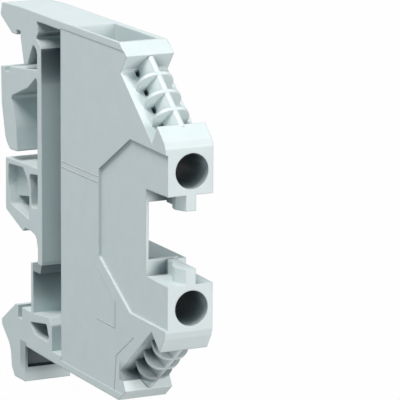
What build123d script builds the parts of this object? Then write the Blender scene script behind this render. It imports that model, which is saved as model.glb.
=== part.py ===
from build123d import *
import os
from math import hypot

# Feed-through terminal block for 35 mm top-hat rail and 32 mm G rail, screw clamps at both ends.
# X points away from the rail, Y runs along the rail and Z is up. Lengths are in millimetres.
# The origin is on the rail's flange face, midway between the rail's edges and midway through
# the block. The housing's closed side faces -Y and its open side faces +Y.

# Driving dimensions of the housing
THICKNESS = 6.0            # along the rail, the spacing of a row of blocks
FRONT_X = 39.35            # front face of the towers, above the rail's flange face
END_Z = {1: 20.66, -1: 21.03}      # end faces, above the middle and below it
SHOULDER = {1: (27.5, 20.72), -1: (27.4, 21.1)}    # outer corner of each shoulder
HOOK_TIP = (-5.45, 20.45)  # outer corner of the fixed hook, where its end face starts
CLOSED_WALL = 0.7          # thickness of the closed side
RAIL_FLANGE = 1.0          # thickness of the rail's flange
RAIL_CLEARANCE = 0.15      # play of the flange in its notches
RAIL_EDGE_Z = 17.75        # bottom of the notches that take the rail's edges
AXIS_Y = 0.35              # the plane of the screws and of the pegs
SCREW_Z = 7.85             # height of each screw's axis above and below the middle

# Faces that the outlines share
CLOSED_Y = -THICKNESS / 2
OPEN_Y = THICKNESS / 2
INNER_Y = CLOSED_Y + CLOSED_WALL
BASE_X = 11.35             # rail side of the chamber block
RIM = (4.8, 6.0)           # rail seat wall, from its rail side to its inner side
GAP_HALF = 5.0             # half the gap between the towers, at its floor
GAP_DRAFT = 0.12           # how much further its flanks are apart at the front, each
GAP_FLOOR_X = 33.8         # floor of that gap
LEDGE_CORNER = {1: (29.35, 19.4), -1: (29.15, 19.7)}
COMB_ROOT = {1: (27.7, 17.3), -1: (27.8, 17.5)}
COMB_FOOT = {1: (35.9, 10.65), -1: (35.9, 11.05)}
TOWER_TOP = {1: (37.2, 12.8), -1: (38.0, 12.95)}
TOWER_CREASE = {1: (38.95, 11.3), -1: (39.1, 11.25)}
CREASE_HALF = 10.5         # half height at which the front face begins
PANEL_DEPTH = 0.3          # sunk panel on the closed side
CHANNEL_WEB_Y = (0.1, 1.3)     # web of the channel behind the rail seat
LUG_WEB_Y = (-1.8, -0.6)       # web of the lug
PRY_WALL = 0.35            # walls beside the pry slot of the clip foot
BORDER = (0.8, 0.06)       # raised border along both ends of the closed side, width and height

# Inside, open towards +Y
CENTRE_HALF = 3.7          # half the opening between the chambers
CENTRE_X = 19.6            # where that opening starts, behind the current bar
FLANK_X = 32.6             # where the walls beside it end, short of the gap's floor
LIP_Y = 1.4                # open side of the lips at the gap's floor
LIP_START = 0.3            # lip's start past the flank walls
LIP_Z = {1: 3.5, -1: 3.15}     # inner edges of the lips
PEG_Z = 3.3                # inner edge of the pegs
PEG_Y = (-0.68, 0.53)      # the pegs' sides at the front, from the plane of the screws
PEG_WAIST = (1.7, 0.25)    # the pegs' narrow part: its length and how far it is set back
PEG_BULGE = (1.5, 0.7)     # the pegs' widest place: its distance from the front and its height
GUIDE_RADIUS = 1.8         # bore that guides the screw's head
ACCESS_RADIUS = 2.05       # screwdriver bore above it
HEAD_STOP_X = 31.3         # where the guide bore widens to the access bore
FUNNEL_X = (15.3, 27.0)    # wire funnel's mouth, in the end face
FUNNEL_Y = (-2.65, 2.2)
BAR_X = 20.9               # rail side of the current bar, roof of the wire space
THROAT_X = (16.5, BAR_X)   # the same funnel where it meets the chamber
THROAT_Y = (-2.3, 1.85)
THROAT_Z = 15.0            # height above the middle where it starts
CORE_X = (22.6, 28.2, 25.8)    # cored corner outside each chamber
CORE_Z = (12.3, 15.6)

# Metal parts
BAR_SIZE = (1.5, 3.0, 23.2)    # current bar: thickness, width and length
BRIDGE_HOLE_RADIUS = 1.25      # tapped hole for a cross-connection screw
THREAD_RADIUS = 1.5            # M3 clamping screw
THREAD_CLEARANCE = 0.05
HEAD_RADIUS = GUIDE_RADIUS - 0.05
HEAD_LENGTH = 2.2
SLOT = (0.8, 1.1)              # screw slot, width and depth
TIP_GAP = 0.1                  # screw tip above the bar
YOKE_WALLS = (1.0, 2.6)        # yoke's clamping floor and threaded roof
YOKE_SIDE = 0.75
YOKE_WIDTH = 4.75
YOKE_LENGTH = 5.6
YOKE_X = 16.6                  # rail side of the open yoke
YOKE_OPENING = 5.4             # inside height of the yoke
YOKE_TRAVEL = 3.0              # how far a yoke rises
YOKE_PLAY = (0.15, 0.3)        # beside the yoke, on the block's inner and outer side
YOKE_END_PLAY = (0.1, 0.2)     # under the open yoke and over the closed one

# Comb on each shoulder slope
COMB_RIBS = 3
COMB_Y = 0.15                  # the plane of the spine
RIB_THICKNESS = 0.45
RIB_WIDTH = 4.3
RIB_HEIGHT = 2.55
RIB_ROUND = 1.7
SPINE_TOP = 0.8
SPINE_CROWN = 0.3              # height of its rounded top
SPINE_BASE = 2.1
SPINE_BULGE = 0.16
VENT = (0.8, 0.5, 1.5)         # small hole beside the spine: along the slope, across, deep
VENT_RISE = 0.45               # how far it undercuts the spine's foot

bar_top = BAR_X + BAR_SIZE[0]
yoke_height = YOKE_WALLS[0] + YOKE_OPENING + YOKE_WALLS[1]
chamber_x = (YOKE_X - YOKE_END_PLAY[0], YOKE_X + yoke_height + YOKE_TRAVEL + YOKE_END_PLAY[1])
chamber_z = (SCREW_Z - YOKE_LENGTH / 2 - YOKE_PLAY[0], SCREW_Z + YOKE_LENGTH / 2 + YOKE_PLAY[1])
screw_shank = chamber_x[1] + 0.1 - bar_top - TIP_GAP


def slab(points, near=CLOSED_Y, far=OPEN_Y, mode=Mode.ADD):
    """Plate between two places along Y. A corner is x, z and, if it is rounded, a radius."""
    with BuildSketch(Plane.XZ.offset(-far)) as face:
        with BuildLine():
            Polyline(*[(x, z) for x, z, *_ in points], close=True)
        make_face()
        for x, z, *radius in points:
            if radius:
                fillet(face.vertices().sort_by_distance((x, z))[0], radius[0])
    extrude(face.sketch, amount=far - near, mode=mode)


def pocket(points, near=CLOSED_Y, far=OPEN_Y):
    """The same plate taken away, with a little to spare past an outer face."""
    spare = 1.0
    near = near - spare if near == CLOSED_Y else near
    far = far + spare if far == OPEN_Y else far
    slab(points, near, far, Mode.SUBTRACT)


def box_points(x_range, z_range, side=1):
    """Corners of a rectangle, above the middle or, with side -1, below it."""
    (x0, x1), (z0, z1) = x_range, z_range
    return [(x0, side * z0), (x1, side * z0), (x1, side * z1), (x0, side * z1)]


def outline(side):
    """Half of the block's outline, from the end face to the floor of the gap."""
    shared = (SHOULDER, LEDGE_CORNER, COMB_ROOT, COMB_FOOT, TOWER_TOP, TOWER_CREASE)
    corners = [(BASE_X, END_Z[side])]
    corners += [place[side] for place in shared]
    corners += [(FRONT_X, CREASE_HALF), (FRONT_X, GAP_HALF + GAP_DRAFT), (GAP_FLOOR_X, GAP_HALF)]
    return [(x, side * z) for x, z in corners]


# Outlines in X and Z
chamber_block = outline(1) + outline(-1)[::-1]

notch_x = -RAIL_FLANGE - RAIL_CLEARANCE
barb_z = 17.15
top_wall_z = 19.65
rim_round_z = 15.6
hook_arm = [(HOOK_TIP[0], HOOK_TIP[1], 0.15), (0.0, END_Z[1]), (BASE_X, END_Z[1]), (BASE_X, top_wall_z),
            (4.7, top_wall_z, 0.2), (5.1, 18.3, 0.3), (4.5, 17.6, 0.2), (RIM[1], 16.6, 1.0),
            (RIM[1], rim_round_z), (RIM[0], rim_round_z), (4.6, 16.2, 0.3),
            (3.7, 16.7, 0.25), (3.1, 15.9, 0.9), (1.95, 14.0), (0.95, 14.0), (0.0, barb_z),
            (0.0, RAIL_EDGE_Z), (notch_x, RAIL_EDGE_Z), (notch_x, barb_z), (-2.5, barb_z),
            (-5.95, 18.9, 0.3)]
seat_wall = [(RIM[0], rim_round_z + 0.4), (RIM[1], rim_round_z + 0.4), (RIM[1], -9.4),
             (5.5, -10.9), (3.4, -11.0), (2.75, -11.0), (2.75, -10.05), (RIM[0], -9.9)]

finger = [(RIM[1], 13.75), (RIM[0], 13.73), (-3.1, 12.95, 0.1), (-3.35, 12.25), (-4.6, 12.1), (-4.75, 12.7),
          (-5.9, 12.6, 0.15), (-5.75, 8.2, 3.0), (-4.6, 3.7, 2.0), (-3.3, 2.75, 0.4), (-1.1, 2.85, 0.15),
          (-1.56, 6.1, 5.0), (-3.0, 9.35, 0.5), (1.93, 11.16, 0.8), (4.49, 12.85, 0.25), (RIM[0], 12.2),
          (RIM[0], 11.2), (RIM[1], 11.2)]

lug = [(RIM[1], 1.9), (-4.6, 1.55, 0.15), (-4.65, -4.85, 0.5), (0.55, -6.7, 0.3), (0.95, -6.2),
       (2.9, -6.15), (4.3, -6.5, 1.0), (RIM[0], -7.9), (RIM[1], -7.9)]
lug_slot = [(2.3, 0.75, 0.5), (RIM[0], 1.05), (RIM[0], -3.05, 0.2), (2.95, -3.3, 0.5), (2.75, -1.2, 3.0)]
lug_pocket = [(-3.81, 0.88, 0.5), (0.5, 1.2, 0.5), (1.74, 0.0, 1.0), (2.35, -1.55, 1.5), (2.31, -4.91, 0.4),
              (-2.86, -4.05, 0.6), (-3.9, -1.5, 2.0)]
lug_web = [(-4.2, 1.2), (1.2, 1.3), (2.55, -1.0), (2.55, -2.6), (-0.7, -2.7), (-4.2, -3.3)]

clip = [(3.4, -10.2), (3.4, -16.25, 0.15), (7.8, -15.75, 0.3), (8.7, -16.6, 0.3), (8.8, -19.7),
        (BASE_X, -19.7), (BASE_X, -END_Z[-1]), (0.9, -20.86), (0.9, -25.37, 0.1),
        (-2.3, -25.4, 0.6), (-3.2, -24.3, 0.8), (-3.45, -21.9, 3.0), (-6.1, -19.7, 0.6),
        (-6.1, -19.0, 0.4), (-1.85, -16.2, 0.15),
        (notch_x, -16.2), (notch_x, -RAIL_EDGE_Z), (0.0, -RAIL_EDGE_Z), (0.0, -16.25),
        (2.75, -16.25), (2.75, -10.2)]
clip_window = [(2.45, -17.5, 0.15), (7.2, -16.72, 0.3), (7.9, -18.2, 0.2), (7.55, -18.87, 0.15),
               (3.9, -18.8, 1.0), (2.95, -18.15, 0.4)]
pry_slot = [(0.9, -20.5), (0.9, -23.6), (-0.4, -23.6), (-0.4, -20.5)]

panel = [(21.9, 5.08), (30.2, 10.07), (FRONT_X + 1, 9.85),
         (FRONT_X + 1, -10.2), (30.2, -10.12), (21.9, -5.26)]


def comb_slope(side):
    """Run of one comb's slope along X and Z, and its length."""
    run = COMB_FOOT[side][0] - COMB_ROOT[side][0]
    fall = side * (COMB_FOOT[side][1] - COMB_ROOT[side][1])
    return run, fall, hypot(run, fall)


def comb_plane(side, along, across=COMB_Y):
    """Plane across a comb's slope: its x is the block's Y and its y stands off the slope."""
    run, fall, length = comb_slope(side)
    root_x, root_z = COMB_ROOT[side]
    x = root_x + along / length * run
    z = side * root_z + along / length * fall
    return Plane(origin=(x, across, z), x_dir=(0, 1, 0), z_dir=(run, 0, fall))


def comb(side):
    """Spine and ribs of one comb. Below the middle the plane's y points inwards, so it is turned."""
    up = side
    sink = -0.5 * up
    slope_length = comb_slope(side)[2]
    with BuildSketch(comb_plane(side, 0)) as spine:
        with BuildLine():
            half_base, half_top, top = SPINE_BASE / 2, SPINE_TOP / 2, RIB_HEIGHT * up
            crown_start = (RIB_HEIGHT - SPINE_CROWN) * up
            Polyline((half_base, 0), (half_base, sink), (-half_base, sink), (-half_base, 0))
            mid = (half_base + half_top) / 2 + SPINE_BULGE
            ThreePointArc((-half_base, 0), (-mid, top / 2), (-half_top, crown_start))
            ThreePointArc((-half_top, crown_start), (0, top), (half_top, crown_start))
            ThreePointArc((half_top, crown_start), (mid, top / 2), (half_base, 0))
        make_face()
    extrude(spine.sketch, amount=slope_length)
    for rib in range(1, COMB_RIBS + 1):
        along = slope_length * rib / (COMB_RIBS + 1) - RIB_THICKNESS / 2
        with BuildSketch(comb_plane(side, along)) as plate:
            half = RIB_WIDTH / 2
            with BuildLine():
                Polyline((-half, sink), (half, sink), (half, RIB_HEIGHT * up), (-half, RIB_HEIGHT * up),
                         close=True)
            make_face()
            fillet(plate.vertices().group_by(Axis.Y)[-1 if up > 0 else 0], RIB_ROUND)
        extrude(plate.sketch, amount=RIB_THICKNESS)


def comb_vents(side):
    """Small holes beside the spine, right after the shoulder and after each rib."""
    length, width, depth = VENT
    slope_length = comb_slope(side)[2]
    for bay in range(COMB_RIBS + 1):
        along = slope_length * bay / (COMB_RIBS + 1) + (RIB_THICKNESS / 2 if bay else 0)
        for across in (-1, 1):
            centre = COMB_Y + across * SPINE_BASE / 2
            with BuildSketch(comb_plane(side, along, centre)) as vent:
                with Locations((0, side * (VENT_RISE - depth) / 2)):
                    Rectangle(width, VENT_RISE + depth)
            extrude(vent.sketch, amount=length, mode=Mode.SUBTRACT)


def funnel(side):
    """Wire funnel from the end face down to the clamp chamber."""
    with BuildSketch(Plane.XY.offset(side * (SHOULDER[side][1] + 0.05))) as mouth:
        with Locations(((FUNNEL_X[0] + FUNNEL_X[1]) / 2, (FUNNEL_Y[0] + FUNNEL_Y[1]) / 2)):
            Rectangle(FUNNEL_X[1] - FUNNEL_X[0], FUNNEL_Y[1] - FUNNEL_Y[0])
    with BuildSketch(Plane.XY.offset(side * THROAT_Z)) as throat:
        with Locations(((THROAT_X[0] + THROAT_X[1]) / 2, (THROAT_Y[0] + THROAT_Y[1]) / 2)):
            Rectangle(THROAT_X[1] - THROAT_X[0], THROAT_Y[1] - THROAT_Y[0])
    loft([mouth.sketch.face(), throat.sketch.face()], mode=Mode.SUBTRACT)


def peg(side):
    """Peg on a tower's inner flank: narrow at the gap's floor and bulging towards the closed side."""
    near, far = AXIS_Y + PEG_Y[0], AXIS_Y + PEG_Y[1]
    waist_end, waist_depth = PEG_WAIST
    bulge_end, bulge_height = PEG_BULGE
    bulge_x = FRONT_X - bulge_end
    with BuildSketch(Plane.XY.offset(side * PEG_Z)) as shape:
        with BuildLine():
            Polyline((FRONT_X, far), (GAP_FLOOR_X, far), (GAP_FLOOR_X, near + waist_depth),
                     (GAP_FLOOR_X + waist_end, near + waist_depth),
                     (bulge_x - 1.0, near - 0.75 * bulge_height), (bulge_x, near - bulge_height),
                     (bulge_x + 0.7, near - 0.6 * bulge_height), (FRONT_X, near), close=True)
        make_face()
    extrude(shape.sketch, amount=side * (GAP_HALF + GAP_DRAFT - PEG_Z))


def cylinder_along_x(radius, start, end, y, z, mode=Mode.ADD):
    """Round bar or bore along X."""
    with BuildSketch(Plane.YZ.offset(start)) as circle:
        with Locations((y, z)):
            Circle(radius)
    extrude(circle.sketch, amount=end - start, mode=mode)


channel = [(RIM[1], rim_round_z), (RIM[1], -9.9), (BASE_X, -9.9), (BASE_X, top_wall_z),
           (7.5, top_wall_z), (6.6, 16.6)]


# Housing: one moulding with its rail foot, towers, combs and clamp chambers
with BuildPart() as housing:
    slab(chamber_block)
    slab(hook_arm)
    slab(seat_wall)
    slab(finger)
    slab(lug)
    slab(clip)

    # Raised end borders and the sunk panel between the towers, on the closed side
    border, step = BORDER
    field_end = FRONT_X + 1
    upper, lower = END_Z[1] - border, border - END_Z[-1]
    pocket([(BASE_X, upper), (field_end, upper), (field_end, lower), (BASE_X, lower)], far=CLOSED_Y + step)
    pocket(panel, far=CLOSED_Y + step + PANEL_DEPTH)

    # Web of the channel behind the rail seat
    slab(channel, *CHANNEL_WEB_Y)

    # Pockets of the lug and the clip foot
    pocket(lug_slot)
    pocket(lug_pocket)
    slab(lug_web, *LUG_WEB_Y)
    pocket(clip_window)
    pocket(pry_slot, near=CLOSED_Y + PRY_WALL, far=OPEN_Y - PRY_WALL)

    for side in (1, -1):
        comb(side)
        comb_vents(side)

        # Clamp chamber, wire funnel and screw bores
        pocket(box_points(chamber_x, chamber_z, side), near=INNER_Y)
        pocket(box_points(THROAT_X, (chamber_z[1] - 1, THROAT_Z), side), near=THROAT_Y[0], far=THROAT_Y[1])
        funnel(side)
        cylinder_along_x(GUIDE_RADIUS, chamber_x[1] - 1, HEAD_STOP_X, AXIS_Y, side * SCREW_Z,
                         Mode.SUBTRACT)
        cylinder_along_x(ACCESS_RADIUS, HEAD_STOP_X, FRONT_X + 1, AXIS_Y, side * SCREW_Z, Mode.SUBTRACT)

        # Cored corner outside the chamber
        start, long_end, short_end = CORE_X
        inner, outer = CORE_Z
        pocket([(start, side * inner), (long_end, side * inner), (short_end, side * outer),
                (start, side * outer)], near=INNER_Y)

    # Opening between the chambers; its side walls end short of the gap's floor
    pocket(box_points((CENTRE_X, GAP_FLOOR_X + 1), (-CENTRE_HALF, CENTRE_HALF)), near=INNER_Y)
    pocket(box_points((FLANK_X, GAP_FLOOR_X + 1), (-GAP_HALF, GAP_HALF)), near=LIP_Y)

    # Seats of the current bar, open towards +Y
    bar_half = BAR_SIZE[2] / 2
    pocket(box_points((BAR_X, bar_top), (-bar_half, bar_half)), near=AXIS_Y - BAR_SIZE[1] / 2)

    # Pegs and lips on the towers' inner flanks
    for side in (1, -1):
        peg(side)
        slab(box_points((FLANK_X + LIP_START, GAP_FLOOR_X), (LIP_Z[side], GAP_HALF), side), INNER_Y, LIP_Y)
housing.part.label = "housing"

# Current bar: tinned copper strip between the two clamps, tapped for a cross connection
with BuildPart() as current_bar:
    with BuildSketch(Plane.YZ.offset(BAR_X)):
        with Locations((AXIS_Y, 0)):
            RectangleRounded(BAR_SIZE[1], BAR_SIZE[2], 0.3)
            Circle(BRIDGE_HOLE_RADIUS, mode=Mode.SUBTRACT)
    extrude(amount=BAR_SIZE[0])
current_bar.part.label = "current_bar"


def clamping_yoke(side, label):
    """Steel sleeve round the bar: it rises along X and clamps the wire from the rail side."""
    with BuildPart() as yoke:
        with BuildSketch(Plane.XY.offset(side * SCREW_Z - YOKE_LENGTH / 2)) as ring:
            with Locations((YOKE_X + yoke_height / 2, AXIS_Y)):
                RectangleRounded(yoke_height, YOKE_WIDTH, 0.5)
            with Locations((YOKE_X + YOKE_WALLS[0] + YOKE_OPENING / 2, AXIS_Y)):
                RectangleRounded(YOKE_OPENING, YOKE_WIDTH - 2 * YOKE_SIDE, 0.2, mode=Mode.SUBTRACT)
        extrude(ring.sketch, amount=YOKE_LENGTH)
        roof_x = YOKE_X + yoke_height - YOKE_WALLS[1]
        cylinder_along_x(THREAD_RADIUS + THREAD_CLEARANCE, roof_x - 1, roof_x + YOKE_WALLS[1] + 1, AXIS_Y,
                         side * SCREW_Z, Mode.SUBTRACT)
    yoke.part.label = label
    return yoke.part


def clamping_screw(side, label):
    """M3 screw: its tip bears on the bar and its head turns in the guide bore."""
    tip = bar_top + TIP_GAP
    with BuildPart() as screw:
        cylinder_along_x(THREAD_RADIUS, tip, tip + screw_shank, AXIS_Y, side * SCREW_Z)
        chamfer(screw.edges().filter_by(GeomType.CIRCLE).sort_by(Axis.X)[0], 0.35)
        head_start = tip + screw_shank
        cylinder_along_x(HEAD_RADIUS, head_start, head_start + HEAD_LENGTH, AXIS_Y, side * SCREW_Z)
        fillet(screw.edges().filter_by(GeomType.CIRCLE).sort_by(Axis.X)[-1], 0.3)
        with BuildSketch(Plane.YZ.offset(head_start + HEAD_LENGTH - SLOT[1])) as slot:
            with Locations((AXIS_Y, side * SCREW_Z)):
                Rectangle(SLOT[0], 3 * HEAD_RADIUS, rotation=25 * side)
        extrude(slot.sketch, amount=2 * SLOT[1], mode=Mode.SUBTRACT)
    screw.part.label = label
    return screw.part


os.makedirs("parts", exist_ok=True)
export_step(housing.part, "parts/housing.step")
export_step(current_bar.part, "parts/current_bar.step")
for side, name in ((1, "upper"), (-1, "lower")):
    export_step(clamping_yoke(side, f"clamping_yoke_{name}"), f"parts/clamping_yoke_{name}.step")
    export_step(clamping_screw(side, f"clamping_screw_{name}"), f"parts/clamping_screw_{name}.step")
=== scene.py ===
import math

import bmesh
import bpy
from mathutils import Matrix, Vector


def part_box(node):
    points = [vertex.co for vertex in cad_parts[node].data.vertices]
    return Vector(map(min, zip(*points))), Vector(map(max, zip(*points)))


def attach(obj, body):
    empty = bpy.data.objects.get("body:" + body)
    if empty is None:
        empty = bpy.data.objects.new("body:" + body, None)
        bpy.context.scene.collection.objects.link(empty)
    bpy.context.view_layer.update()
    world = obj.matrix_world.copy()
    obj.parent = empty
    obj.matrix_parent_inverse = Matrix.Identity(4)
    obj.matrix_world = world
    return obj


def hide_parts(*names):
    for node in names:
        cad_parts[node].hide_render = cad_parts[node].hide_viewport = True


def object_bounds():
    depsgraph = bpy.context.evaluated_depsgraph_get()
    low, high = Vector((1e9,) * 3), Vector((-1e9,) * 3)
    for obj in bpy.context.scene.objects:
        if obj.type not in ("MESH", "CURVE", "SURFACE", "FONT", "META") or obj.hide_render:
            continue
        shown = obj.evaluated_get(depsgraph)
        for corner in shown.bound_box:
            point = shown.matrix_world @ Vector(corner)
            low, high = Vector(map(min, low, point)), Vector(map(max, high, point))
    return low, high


# The block stands as it does on a rail fixed to a wall: X away from the rail, Y along it, Z up.
# The script works in metres, and lengths given in millimetres are multiplied by MM.
MM = 0.001

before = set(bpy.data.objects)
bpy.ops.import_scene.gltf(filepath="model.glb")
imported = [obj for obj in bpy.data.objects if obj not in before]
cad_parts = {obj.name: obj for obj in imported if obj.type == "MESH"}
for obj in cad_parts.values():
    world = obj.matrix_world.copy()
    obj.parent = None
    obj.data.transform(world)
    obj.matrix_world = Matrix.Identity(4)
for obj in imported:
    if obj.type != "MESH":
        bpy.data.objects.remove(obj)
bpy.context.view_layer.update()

# Camera, as fitted to the photograph: millimetres and degrees
CAMERA_PLACE = (402.79, -181.04, 93.74)
CAMERA_HEADING = 63.35
CAMERA_DROP = 12.38
CAMERA_ROLL = 0.29
CAMERA_LENS = 335.97

# Light. Lamp: name, direction to it, distance, size in metres, power in watts.
LAMPS = (
    ("top", (0.08, -0.40, 0.91), 0.60, 0.30, 3.92),
    ("front", (0.97, 0.12, 0.12), 0.70, 0.20, 3.7),
)
LAMP_COLOUR = (1.0, 0.88, 0.862)
LAMP_TARGET = (17, 0, -2)          # middle of the block, in millimetres
AMBIENT = 0.42
AMBIENT_COLOUR = (0.78, 1.0, 1.06, 1)
WHITE = (1, 1, 1, 1)
FLOOR_SIZE = 2.0                   # in metres
FLOOR_DROP = 0.2                   # below the lowest point of the block, in millimetres
FLOOR_GLOW = 0.985                 # share of its own light for the rays that see the floor
FLOOR_SHADE = 0.38                 # its grey for the light that it sends back

# Finishes, with the polyamide's painted shade and painted highlight colours, in linear colour
POLYAMIDE = (0.508, 0.602, 0.606)
# Painted shade: dark blue grey that the polyamide's colour is darkened towards in recesses
POLYAMIDE_PAINTED_SHADE = (0.010, 0.035, 0.050)
# Painted highlight: pale colour that sharp edges are lightened towards, and its share
POLYAMIDE_PAINTED_HIGHLIGHT = (0.86, 0.89, 0.89)
POLYAMIDE_HIGHLIGHT_SHARE = 0.30
POLYAMIDE_EDGE_RADIUS = 0.20       # in millimetres
POLYAMIDE_MOTTLING = (0.975, 1.015)    # shares of its colour in the darker and the lighter patches
POLYAMIDE_ROUGHNESS = (0.42, 0.58)
EDGE_LIKENESS = (0.75, 0.99)       # of rounded and straight normal, where an edge is full and where it ends
TIN = (0.72, 0.71, 0.68)
TIN_DULL = (0.50, 0.49, 0.47)
ZINC = (0.62, 0.64, 0.66)
ZINC_DULL = (0.42, 0.43, 0.45)
SCREW_ZINC = (0.66, 0.67, 0.69)
SCREW_DULL = (0.40, 0.41, 0.42)
METAL_EDGE_SHARE = 0.5
METAL_ROUGHNESS_SPREAD = 0.14

# Painted shade in recesses: the polyamide's colour is darkened where little light reaches. How open a place
# may be and still be shaded: anywhere, in the screw bores and where it looks down. SHELTERED holds places
# that little light reaches: range along X, range along Z, how open a place may be there, and where along Z
# the shade has faded out and where it is full.
SHADE_REACH = 9                    # how far off a face still counts as cover, in millimetres
SHADE_FULL = 0.05                  # how open a place is where the shade is full
SHADE_START = 0.10
SHADE_START_BORE = 0.30
SHADE_START_DOWN = 0.95
BORE_REACH = 2.3                   # from a screw's axis, in millimetres
SHELTERED = (
    ((5.9, 11.4), (-9.9, 19.7), 0.46, None),
    ((5.9, 11.4), (8.0, 19.7), 2.6, (11.0, 17.0)),
    ((3.3, 11.4), (-16.3, -9.8), 2.2, (-16.5, -10.0)),
    ((-0.6, 1.3), (-25.8, -20.4), 1.6, (-26.5, -22.5)),
    ((30.0, 38.0), (3.2, 5.3), 0.92, None),
    ((33.0, 34.2), (-5.2, 5.2), 0.85, None),
    ((27.4, 36.6), (-18.6, -10.9), 0.92, (-8.0, -15.0)),
    ((27.4, 36.6), (-18.6, -14.0), 1.6, (-14.0, -17.5)),
)
UPPER_COMB = ((27.4, 36.2), (10.6, 17.7))      # its small holes get no painted shade for looking down

# Faint raised lines on the closed side, round its bare marking field and along the lower comb: places
# along X and Z, and the ridge's section, across the line and along Y
FIELD_LINES = (
    ((11.35, 4.07), (21.6, 4.15)),
    ((11.35, 3.37), (21.6, 3.45)),
    ((20.9, -6.2), (26.25, -9.66), (26.25, -12.78), (21.0, -12.7)),
    ((26.0, -20.2), (26.6, -15.9), (31.2, -12.75)),
)
RIDGE = ((-0.12, -2.935), (-0.04, -2.956), (0.04, -2.956), (0.12, -2.935))

# Clamping screws, in millimetres and degrees
SCREW_Y = 0.35
SCREW_Z = 7.85
THREAD_RADIUS = 1.5
THREAD_PITCH = 0.5
THREAD_DEPTH = 0.3
THREAD_FADE = (0.25, 0.05)         # share of the thread's depth at the tip and under the head
TIP_CHAMFER = 0.35
TURN_STEPS = 32                    # points round the thread
PITCH_STEPS = 6                    # rows of points to one pitch
HEAD_LENGTH = 2.2
HEAD_CHAMFER = 0.3
HEAD_OVERLAP = 0.1                 # how far the shank runs into the head
SLOT_WIDTH = 0.8
SLOT_DEPTH = 1.1
SLOT_CUT = 6.0                     # length of the slot's cutter, past both sides of the head
SLOT_ANGLE = 25.0
SMOOTH_ANGLE = 28.0


# Shader helpers

def add_node(tree, kind, **values):
    """New shader node. Names that are inputs are set or linked, other names are the node's own."""
    node = tree.nodes.new(kind)
    for name, value in values.items():
        if name in node.inputs:
            if isinstance(value, bpy.types.NodeSocket):
                tree.links.new(value, node.inputs[name])
            else:
                node.inputs[name].default_value = value
        else:
            setattr(node, name, value)
    return node


def blend(tree, factor, low, high):
    """Colour between two colours or sockets. In a colour Mix node, inputs 6 and 7 are its colours."""
    node = tree.nodes.new("ShaderNodeMix")
    node.data_type = "RGBA"
    for slot, value in ((0, factor), (6, low), (7, high)):
        if isinstance(value, bpy.types.NodeSocket):
            tree.links.new(value, node.inputs[slot])
        elif slot == 0:
            node.inputs[slot].default_value = value
        else:
            node.inputs[slot].default_value = (*value, 1)
    return node.outputs[2]


def scaled(tree, value, low, high, start=0.0, end=1.0):
    """Value spread linearly from start..end to low..high."""
    node = add_node(tree, "ShaderNodeMapRange")
    tree.links.new(value, node.inputs[0])
    for slot, number in ((1, start), (2, end), (3, low), (4, high)):
        node.inputs[slot].default_value = number
    return node.outputs[0]


def calculated(tree, operation, *values):
    """Result of a Math node."""
    node = tree.nodes.new("ShaderNodeMath")
    node.operation = operation
    for slot, value in enumerate(values):
        if isinstance(value, bpy.types.NodeSocket):
            tree.links.new(value, node.inputs[slot])
        else:
            node.inputs[slot].default_value = value
    return node.outputs[0]


def new_group(name, inputs, outputs):
    """Empty shader node group. Inputs are (name, kind, value) and outputs are (name, kind)."""
    group = bpy.data.node_groups.new(name, "ShaderNodeTree")
    for label, kind, value in inputs:
        socket = group.interface.new_socket(label, in_out="INPUT", socket_type=kind)
        socket.default_value = value
    for label, kind in outputs:
        group.interface.new_socket(label, in_out="OUTPUT", socket_type=kind)
    return group, group.nodes.new("NodeGroupInput"), group.nodes.new("NodeGroupOutput")


def placed(tree, group, **values):
    """The group as a node in a material, with its own values."""
    node = tree.nodes.new("ShaderNodeGroup")
    node.node_tree = group
    for name, value in values.items():
        socket = node.inputs[name.replace("_", " ")]
        if isinstance(value, bpy.types.NodeSocket):
            tree.links.new(value, socket)
        else:
            socket.default_value = value
    return node


# Shared effects

def build_surface_variation():
    """Soft patches and fine grain, as mask values from 0 to 1."""
    group, given, result = new_group(
        "surface_variation",
        [("Patch Scale", "NodeSocketFloat", 300.0), ("Grain Scale", "NodeSocketFloat", 4000.0)],
        [("Patches", "NodeSocketFloat"), ("Grain", "NodeSocketFloat")])
    place = add_node(group, "ShaderNodeTexCoord").outputs["Object"]
    patches = add_node(group, "ShaderNodeTexNoise", Vector=place, Scale=given.outputs["Patch Scale"],
                       Detail=4.0, Roughness=0.6)
    grain = add_node(group, "ShaderNodeTexNoise", Vector=place, Scale=given.outputs["Grain Scale"],
                     Detail=3.0)
    group.links.new(patches.outputs[0], result.inputs["Patches"])
    group.links.new(grain.outputs[0], result.inputs["Grain"])
    return group


def build_rounded_edges():
    """Normal that rounds sharp edges, and a mask of those edges."""
    group, given, result = new_group("rounded_edges", [("Radius", "NodeSocketFloat", 0.00012)],
                                     [("Normal", "NodeSocketVector"), ("Edge", "NodeSocketFloat")])
    bevel = add_node(group, "ShaderNodeBevel", Radius=given.outputs["Radius"], samples=6)
    straight = add_node(group, "ShaderNodeNewGeometry").outputs["Normal"]
    alike = add_node(group, "ShaderNodeVectorMath", operation="DOT_PRODUCT")
    group.links.new(bevel.outputs[0], alike.inputs[0])
    group.links.new(straight, alike.inputs[1])
    edge = scaled(group, alike.outputs["Value"], 1.0, 0.0, *EDGE_LIKENESS)
    group.links.new(bevel.outputs[0], result.inputs["Normal"])
    group.links.new(edge, result.inputs["Edge"])
    return group


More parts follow.
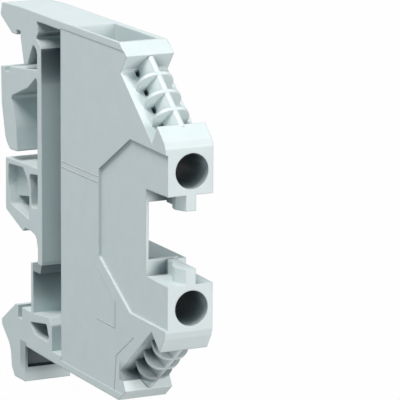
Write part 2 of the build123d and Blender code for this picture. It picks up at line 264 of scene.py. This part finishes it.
def build_painted_recess_shade():
    """Mask for painted shade in recesses, from 0 in the open to 1 deep inside."""
    group, given, result = new_group(
        "painted_recess_shade", [("Reach", "NodeSocketFloat", 0.008), ("Start", "NodeSocketFloat", 0.55),
                         ("End", "NodeSocketFloat", 0.12)], [("Painted Shade", "NodeSocketFloat")])
    shade = add_node(group, "ShaderNodeAmbientOcclusion", Distance=given.outputs["Reach"], samples=12,
                     only_local=True)
    spread = add_node(group, "ShaderNodeMapRange")
    group.links.new(shade.outputs["AO"], spread.inputs[0])
    group.links.new(given.outputs["Start"], spread.inputs[1])
    group.links.new(given.outputs["End"], spread.inputs[2])
    group.links.new(spread.outputs[0], result.inputs["Painted Shade"])
    return group


surface_variation = build_surface_variation()
rounded_edges = build_rounded_edges()
painted_recess_shade = build_painted_recess_shade()


def new_material(name):
    """Material with an empty Principled shader, and its tree and shader."""
    material = bpy.data.materials.new(name)
    material.use_nodes = True
    tree = material.node_tree
    return material, tree, tree.nodes["Principled BSDF"]


def within(tree, value, low, high):
    """1 where a value in metres is between two places in millimetres."""
    above = calculated(tree, "GREATER_THAN", value, low * MM)
    return calculated(tree, "MULTIPLY", above, calculated(tree, "LESS_THAN", value, high * MM))


def shade_start(tree):
    """How open a place may be and still get painted shade, by where it is and whether it looks down."""
    place = add_node(tree, "ShaderNodeTexCoord").outputs["Object"]
    straight = add_node(tree, "ShaderNodeNewGeometry").outputs["True Normal"]
    x, y, z = add_node(tree, "ShaderNodeSeparateXYZ", Vector=place).outputs
    upward = add_node(tree, "ShaderNodeSeparateXYZ", Vector=straight).outputs[2]
    down = calculated(tree, "MULTIPLY", upward, -1.0)
    aside = calculated(tree, "SUBTRACT", y, SCREW_Y * MM)
    across = calculated(tree, "SUBTRACT", calculated(tree, "ABSOLUTE", z), SCREW_Z * MM)
    reach = calculated(tree, "ADD", calculated(tree, "MULTIPLY", aside, aside),
                       calculated(tree, "MULTIPLY", across, across))
    bore = calculated(tree, "LESS_THAN", calculated(tree, "SQRT", reach), BORE_REACH * MM)
    comb = calculated(tree, "MULTIPLY", within(tree, x, *UPPER_COMB[0]), within(tree, z, *UPPER_COMB[1]))
    down = calculated(tree, "MULTIPLY", down, calculated(tree, "SUBTRACT", 1.0, comb))
    starts = [(bore, SHADE_START_BORE), (down, SHADE_START_DOWN)]
    for x_range, z_range, start, fade in SHELTERED:
        box = calculated(tree, "MULTIPLY", within(tree, x, *x_range), within(tree, z, *z_range))
        if fade:
            box = calculated(tree, "MULTIPLY", box, scaled(tree, z, 0.0, 1.0, fade[0] * MM, fade[1] * MM))
        starts.append((box, start))
    start = SHADE_START
    for mask, value in starts:
        start = calculated(tree, "MAXIMUM", start, calculated(tree, "MULTIPLY", mask, value))
    return start


def build_polyamide():
    """Satin moulded polyamide: pale blue grey with soft mottling, painted highlights along its edges and
    painted shade in its recesses.
    """
    material, tree, shader = new_material("satin_polyamide")
    skin = placed(tree, surface_variation, Patch_Scale=420.0, Grain_Scale=5200.0)
    edges = placed(tree, rounded_edges, Radius=POLYAMIDE_EDGE_RADIUS * MM)
    recess = placed(tree, painted_recess_shade, Reach=SHADE_REACH * MM, Start=shade_start(tree), End=SHADE_FULL)
    patches, grain = skin.outputs["Patches"], skin.outputs["Grain"]
    darker, lighter = [tuple(share * channel for channel in POLYAMIDE) for share in POLYAMIDE_MOTTLING]
    body = blend(tree, scaled(tree, patches, 0.0, 1.0, 0.3, 0.7), darker, lighter)
    # Painted highlight: the colour is lightened along sharp edges
    edge_light = calculated(tree, "MULTIPLY", edges.outputs["Edge"], POLYAMIDE_HIGHLIGHT_SHARE)
    body = blend(tree, edge_light, body, POLYAMIDE_PAINTED_HIGHLIGHT)
    # Painted shade: the colour is darkened towards a dark blue grey in recesses and sheltered places
    body = blend(tree, recess.outputs["Painted Shade"], body, POLYAMIDE_PAINTED_SHADE)
    tree.links.new(body, shader.inputs["Base Color"])
    tree.links.new(scaled(tree, grain, *POLYAMIDE_ROUGHNESS), shader.inputs["Roughness"])
    shader.inputs["IOR"].default_value = 1.53
    shader.inputs["Specular IOR Level"].default_value = 0.4
    bump = add_node(tree, "ShaderNodeBump", Strength=0.08, Distance=0.00002)
    tree.links.new(grain, bump.inputs["Height"])
    tree.links.new(edges.outputs["Normal"], bump.inputs["Normal"])
    tree.links.new(bump.outputs[0], shader.inputs["Normal"])
    return material


def build_plated_metal(name, bright, dull, roughness, stretch, edge_radius):
    """Plated metal with drawn streaks and brighter, worn edges."""
    material, tree, shader = new_material(name)
    skin = placed(tree, surface_variation, Patch_Scale=700.0, Grain_Scale=3500.0)
    edges = placed(tree, rounded_edges, Radius=edge_radius)
    place = add_node(tree, "ShaderNodeTexCoord").outputs["Object"]
    along = add_node(tree, "ShaderNodeMapping", Vector=place, Scale=stretch)
    streaks = add_node(tree, "ShaderNodeTexNoise", Vector=along.outputs[0], Scale=2500.0, Detail=2.0)
    patches = skin.outputs["Patches"]
    colour = blend(tree, scaled(tree, patches, 0.0, 1.0, 0.35, 0.7), bright, dull)
    worn = calculated(tree, "MULTIPLY", edges.outputs["Edge"], METAL_EDGE_SHARE)
    colour = blend(tree, worn, colour, bright)
    tree.links.new(colour, shader.inputs["Base Color"])
    shader.inputs["Metallic"].default_value = 1.0
    rough = scaled(tree, patches, roughness, roughness + METAL_ROUGHNESS_SPREAD)
    tree.links.new(rough, shader.inputs["Roughness"])
    bump = add_node(tree, "ShaderNodeBump", Strength=0.25, Distance=0.00001)
    tree.links.new(streaks.outputs[0], bump.inputs["Height"])
    tree.links.new(edges.outputs["Normal"], bump.inputs["Normal"])
    tree.links.new(bump.outputs[0], shader.inputs["Normal"])
    return material


polyamide = build_polyamide()
tinned_copper = build_plated_metal("dull_tin", TIN, TIN_DULL, roughness=0.34, stretch=(1, 1, 0.08),
                                   edge_radius=0.1 * MM)
plated_steel = build_plated_metal("zinc_plated_sleeve", ZINC, ZINC_DULL, roughness=0.30,
                                  stretch=(0.1, 1, 1), edge_radius=0.12 * MM)
plated_screw = build_plated_metal("zinc_plated_screw", SCREW_ZINC, SCREW_DULL, roughness=0.28,
                                  stretch=(1, 1, 1), edge_radius=0.05 * MM)


def dress(name, material):
    """Gives a CAD node's slots one material."""
    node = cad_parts[name]
    for slot in node.material_slots:
        slot.material = material


dress("housing", polyamide)
dress("current_bar", tinned_copper)
dress("clamping_yoke_upper", plated_steel)
dress("clamping_yoke_lower", plated_steel)


# Mesh helpers

def join_rings(mesh, rings):
    """Skin over rings of as many points each, closed at both ends."""
    count = len(rings[0])
    for low, high in zip(rings, rings[1:]):
        for step in range(count):
            following = (step + 1) % count
            mesh.faces.new((low[step], low[following], high[following], high[step]))
    mesh.faces.new(reversed(rings[0]))
    mesh.faces.new(rings[-1])


def mesh_object(name, mesh):
    """Object in the scene made from a bmesh."""
    data = bpy.data.meshes.new(name)
    bmesh.ops.recalc_face_normals(mesh, faces=mesh.faces)
    mesh.to_mesh(data)
    mesh.free()
    made = bpy.data.objects.new(name, data)
    bpy.context.scene.collection.objects.link(made)
    return made


def combined(base, other, operation):
    """The base after a boolean with the other, which is deleted."""
    step = base.modifiers.new("join", "BOOLEAN")
    step.operation = operation
    step.object = other
    step.solver = "EXACT"
    graph = bpy.context.evaluated_depsgraph_get()
    result = bpy.data.meshes.new_from_object(base.evaluated_get(graph))
    base.modifiers.clear()
    base.data = result
    bpy.data.objects.remove(other)
    return base


# Clamping screws with their threads

def screw_profile(length):
    """Places along the shank, its radius there and the thread's depth, faded out at both ends."""
    steps = int(round(length / THREAD_PITCH * PITCH_STEPS))
    tip_fade, head_fade = THREAD_FADE
    rows = []
    for step in range(steps + 1):
        x = length * step / steps
        fade = min(1.0, x / THREAD_PITCH + tip_fade, (length - x) / THREAD_PITCH + head_fade)
        rows.append((x, THREAD_RADIUS + min(0.0, x - TIP_CHAMFER), fade))
    return rows


def threaded_shank(start, length, centre):
    """Shank with a helical thread, closed at both ends."""
    mesh = bmesh.new()
    rings = []
    for x, outer, fade in screw_profile(length):
        ring = []
        for step in range(TURN_STEPS):
            turn = step / TURN_STEPS
            place = (x / THREAD_PITCH - turn) % 1.0
            groove = abs(2.0 * place - 1.0)
            radius = outer - THREAD_DEPTH * groove * fade
            angle = 2 * math.pi * turn
            y = centre[1] + radius * math.cos(angle) * MM
            z = centre[2] + radius * math.sin(angle) * MM
            ring.append(mesh.verts.new((start + x * MM, y, z)))
        rings.append(ring)
    join_rings(mesh, rings)
    return mesh


def turned_head(start, radius, centre):
    """Round head with its outer edge broken by two narrow slopes."""
    mesh = bmesh.new()
    edge = HEAD_LENGTH - HEAD_CHAMFER
    between = 0.3 * HEAD_CHAMFER
    outline = ((0.0, radius), (edge, radius), (HEAD_LENGTH - between, radius - between),
               (HEAD_LENGTH, radius - HEAD_CHAMFER))
    rings = []
    for x, reach in outline:
        ring = []
        for step in range(2 * TURN_STEPS):
            angle = math.pi * step / TURN_STEPS
            y = centre[1] + reach * math.cos(angle) * MM
            z = centre[2] + reach * math.sin(angle) * MM
            ring.append(mesh.verts.new((start + x * MM, y, z)))
        rings.append(ring)
    join_rings(mesh, rings)
    return mesh


def slot_cutter(front, centre, side):
    """Bar that cuts the screwdriver slot into the head, centred on the head's front face."""
    mesh = bmesh.new()
    bmesh.ops.create_cube(mesh, size=1.0)
    turn = Matrix.Rotation(math.radians(side * SLOT_ANGLE), 4, "X")
    bmesh.ops.scale(mesh, vec=(2 * SLOT_DEPTH * MM, SLOT_CUT * MM, SLOT_WIDTH * MM), verts=mesh.verts)
    bmesh.ops.transform(mesh, matrix=turn, verts=mesh.verts)
    bmesh.ops.translate(mesh, vec=(front, centre[1], centre[2]), verts=mesh.verts)
    return mesh


def build_screw(name, side):
    """Slotted screw in place of the plain one."""
    node = f"clamping_screw_{name}"
    low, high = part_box(node)
    centre = (0.0, SCREW_Y * MM, side * SCREW_Z * MM)
    head_radius = (high[1] - low[1]) / 2 / MM
    head_start = high[0] - HEAD_LENGTH * MM
    shank_length = (head_start - low[0]) / MM + HEAD_OVERLAP
    screw = mesh_object(f"threaded_screw_{name}", threaded_shank(low[0], shank_length, centre))
    head = mesh_object("head", turned_head(head_start, head_radius, centre))
    screw = combined(screw, head, "UNION")
    cutter = mesh_object("cutter", slot_cutter(high[0], centre, side))
    screw = combined(screw, cutter, "DIFFERENCE")
    screw.data.materials.clear()
    screw.data.materials.append(plated_screw)
    screw.data.shade_smooth()
    screw.data.set_sharp_from_angle(angle=math.radians(SMOOTH_ANGLE))
    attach(screw, f"screw_{name}")
    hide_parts(node)


build_screw("upper", 1)
build_screw("lower", -1)


# Closed side

def raised_line(mesh, line):
    """Low ridge along a line of places on the closed side, with mitred corners and closed ends."""
    places = [Vector(place) for place in line]
    runs = [(after - place).normalized() for place, after in zip(places, places[1:])]
    rings = []
    for index, place in enumerate(places):
        before, after = runs[max(index - 1, 0)], runs[min(index, len(runs) - 1)]
        along = (before + after).normalized()
        across = Vector((-along.y, along.x)) / along.dot(before)
        ring = []
        for aside, y in RIDGE:
            x, z = place + across * aside
            ring.append(mesh.verts.new((x * MM, y * MM, z * MM)))
        rings.append(ring)
    join_rings(mesh, rings)


def build_field_lines():
    """All the raised lines of the closed side, as one piece of the housing."""
    mesh = bmesh.new()
    for line in FIELD_LINES:
        raised_line(mesh, line)
    lines = mesh_object("marking_field_lines", mesh)
    lines.data.materials.append(polyamide)
    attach(lines, "block")


build_field_lines()


# Floor, backdrop and lamps

def white_rays(tree):
    """1 for the rays that see the background: camera, glossy and transmission rays."""
    path = add_node(tree, "ShaderNodeLightPath")
    seen = calculated(tree, "MAXIMUM", path.outputs["Is Camera Ray"], path.outputs["Is Glossy Ray"])
    return calculated(tree, "MAXIMUM", seen, path.outputs["Is Transmission Ray"])


def build_floor():
    """Pale floor under the clip foot. It glows for the rays that see it and keeps a soft shadow."""
    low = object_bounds()[0]
    plane = bmesh.new()
    bmesh.ops.create_grid(plane, x_segments=1, y_segments=1, size=FLOOR_SIZE)
    bmesh.ops.translate(plane, vec=(0, 0, low[2] - FLOOR_DROP * MM), verts=plane.verts)
    floor = mesh_object("floor", plane)
    material = bpy.data.materials.new("pale_floor")
    material.use_nodes = True
    tree = material.node_tree
    tree.nodes.clear()
    matt = add_node(tree, "ShaderNodeBsdfDiffuse", Color=(FLOOR_SHADE, FLOOR_SHADE, FLOOR_SHADE, 1))
    glow = add_node(tree, "ShaderNodeEmission", Color=WHITE, Strength=1.0)
    share = calculated(tree, "MULTIPLY", white_rays(tree), FLOOR_GLOW)
    mixed = tree.nodes.new("ShaderNodeMixShader")
    tree.links.new(share, mixed.inputs[0])
    tree.links.new(matt.outputs[0], mixed.inputs[1])
    tree.links.new(glow.outputs[0], mixed.inputs[2])
    output = tree.nodes.new("ShaderNodeOutputMaterial")
    tree.links.new(mixed.outputs[0], output.inputs[0])
    floor.data.materials.append(material)


def build_world():
    """White surroundings for the rays that see them, and plain ambient light for the rest."""
    world = bpy.data.worlds.new("studio")
    bpy.context.scene.world = world
    world.use_nodes = True
    tree = world.node_tree
    tree.nodes.clear()
    ambient = add_node(tree, "ShaderNodeBackground", Color=AMBIENT_COLOUR, Strength=AMBIENT)
    white = add_node(tree, "ShaderNodeBackground", Color=WHITE, Strength=1.0)
    mixed = tree.nodes.new("ShaderNodeMixShader")
    tree.links.new(white_rays(tree), mixed.inputs[0])
    tree.links.new(ambient.outputs[0], mixed.inputs[1])
    tree.links.new(white.outputs[0], mixed.inputs[2])
    output = tree.nodes.new("ShaderNodeOutputWorld")
    tree.links.new(mixed.outputs[0], output.inputs[0])


def build_lamps():
    """Soft square lamps aimed at the middle of the block."""
    middle = Vector(LAMP_TARGET) * MM
    for name, direction, distance, size, power in LAMPS:
        light = bpy.data.lights.new(name, "AREA")
        light.size = size
        light.energy = power
        light.color = LAMP_COLOUR
        lamp = bpy.data.objects.new(name, light)
        away = Vector(direction).normalized()
        lamp.location = middle + away * distance
        lamp.rotation_euler = away.to_track_quat("Z", "Y").to_euler()
        bpy.context.scene.collection.objects.link(lamp)


def build_camera():
    """Camera at the photograph's viewing angle."""
    lens = bpy.data.cameras.new("camera")
    lens.lens = CAMERA_LENS
    lens.sensor_width = 36.0
    lens.clip_start = 0.01
    camera = bpy.data.objects.new("camera", lens)
    turn = Matrix.Rotation(math.radians(CAMERA_HEADING), 4, "Z")
    tilt = Matrix.Rotation(math.radians(90 - CAMERA_DROP), 4, "X")
    roll = Matrix.Rotation(math.radians(CAMERA_ROLL), 4, "Z")
    camera.matrix_world = Matrix.Translation(Vector(CAMERA_PLACE) * MM) @ turn @ tilt @ roll
    bpy.context.scene.collection.objects.link(camera)
    bpy.context.scene.camera = camera


build_floor()
build_world()
build_lamps()
build_camera()
bpy.context.scene.view_settings.view_transform = "Standard"
